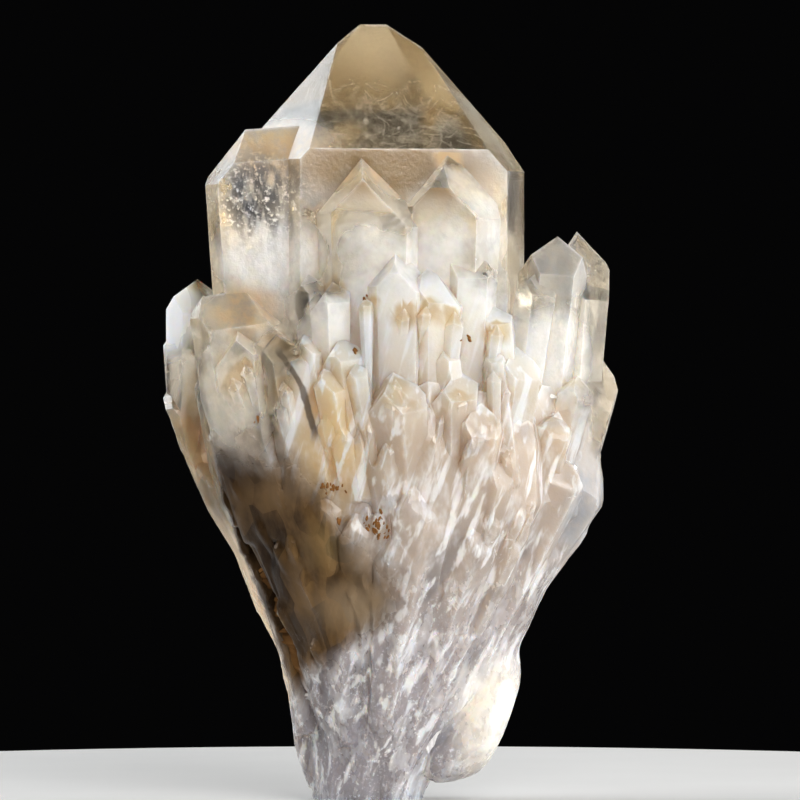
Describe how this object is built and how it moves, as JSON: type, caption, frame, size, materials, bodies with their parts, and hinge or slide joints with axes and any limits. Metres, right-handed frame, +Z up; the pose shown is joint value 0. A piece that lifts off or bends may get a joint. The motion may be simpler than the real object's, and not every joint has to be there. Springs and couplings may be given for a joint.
{
  "type": "citrine crystal",
  "caption": "Upright group of clear to milky amber quartz crystals: one large point, smaller points fanned round it on a flaring foot cut flat.",
  "frame": {"origin": "on the flat cut under the foot, below the middle of the group", "axes": "+Z up along the large point, -Y to the front, where the small points are pictured, +X to the right"},
  "size_m": [0.073, 0.0546, 0.1242],
  "materials": {
    "citrine_quartz": "glassy faces, milky towards the foot"
  },
  "bodies": {
    "root": {"crystal_group": "citrine_quartz"}
  },
  "joints": []
}
